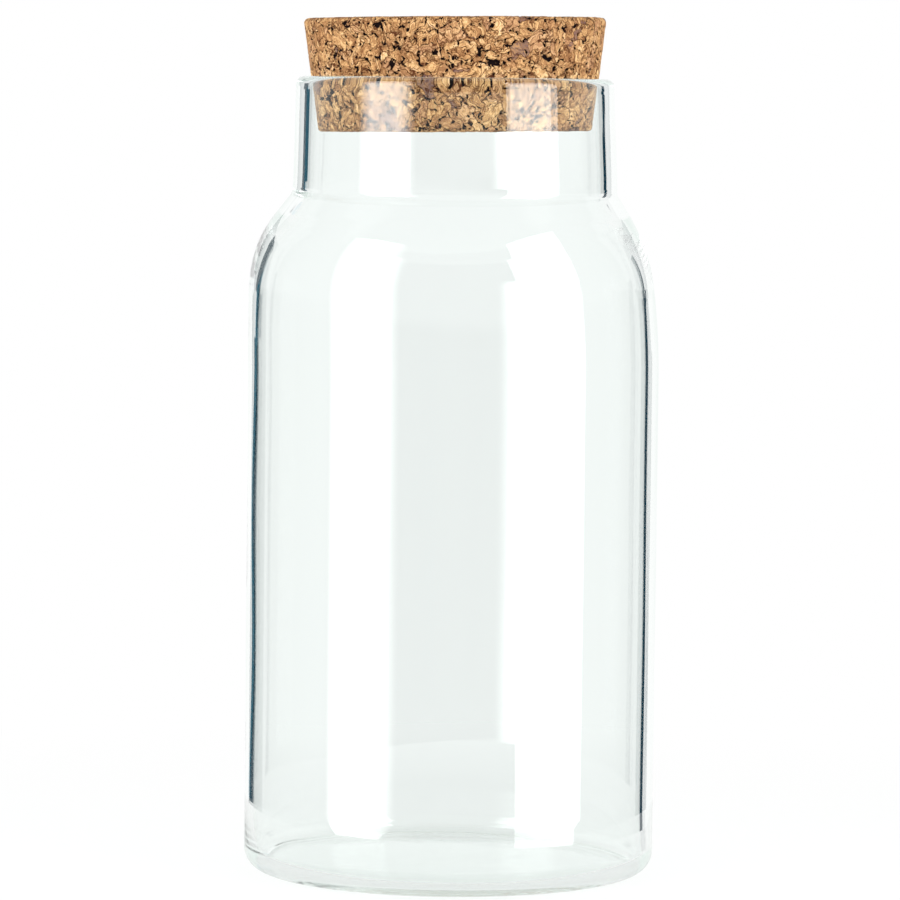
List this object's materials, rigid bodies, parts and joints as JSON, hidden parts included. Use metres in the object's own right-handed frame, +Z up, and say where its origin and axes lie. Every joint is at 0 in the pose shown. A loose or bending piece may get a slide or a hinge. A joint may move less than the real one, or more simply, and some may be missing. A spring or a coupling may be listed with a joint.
{
  "type": "storage jar",
  "caption": "Tall round storage jar of clear glass with soft shoulders, a thick straight neck and a tapered cork lid that pulls out.",
  "frame": {"origin": "centre of the flat ring that the jar stands on, in the plane of the surface under it", "axes": "+Z up along the axis of the jar; the jar is round, so X and Y are free"},
  "size_m": [0.1, 0.1, 0.2076],
  "materials": {
    "clear_glass": "clear, smooth and glossy, with a faint green-grey tint in its edges",
    "cork": "matte pressed cork: tan granules, dark cracks and pits"
  },
  "bodies": {
    "jar": {"glass_jar": "clear_glass"},
    "cork": {"cork_stopper": "cork"}
  },
  "joints": [
    {"name": "cork_lift", "type": "slide", "parent": "jar", "child": "cork", "axis": [0, 0, 1], "range_m": [0, 0.06]}
  ]
}
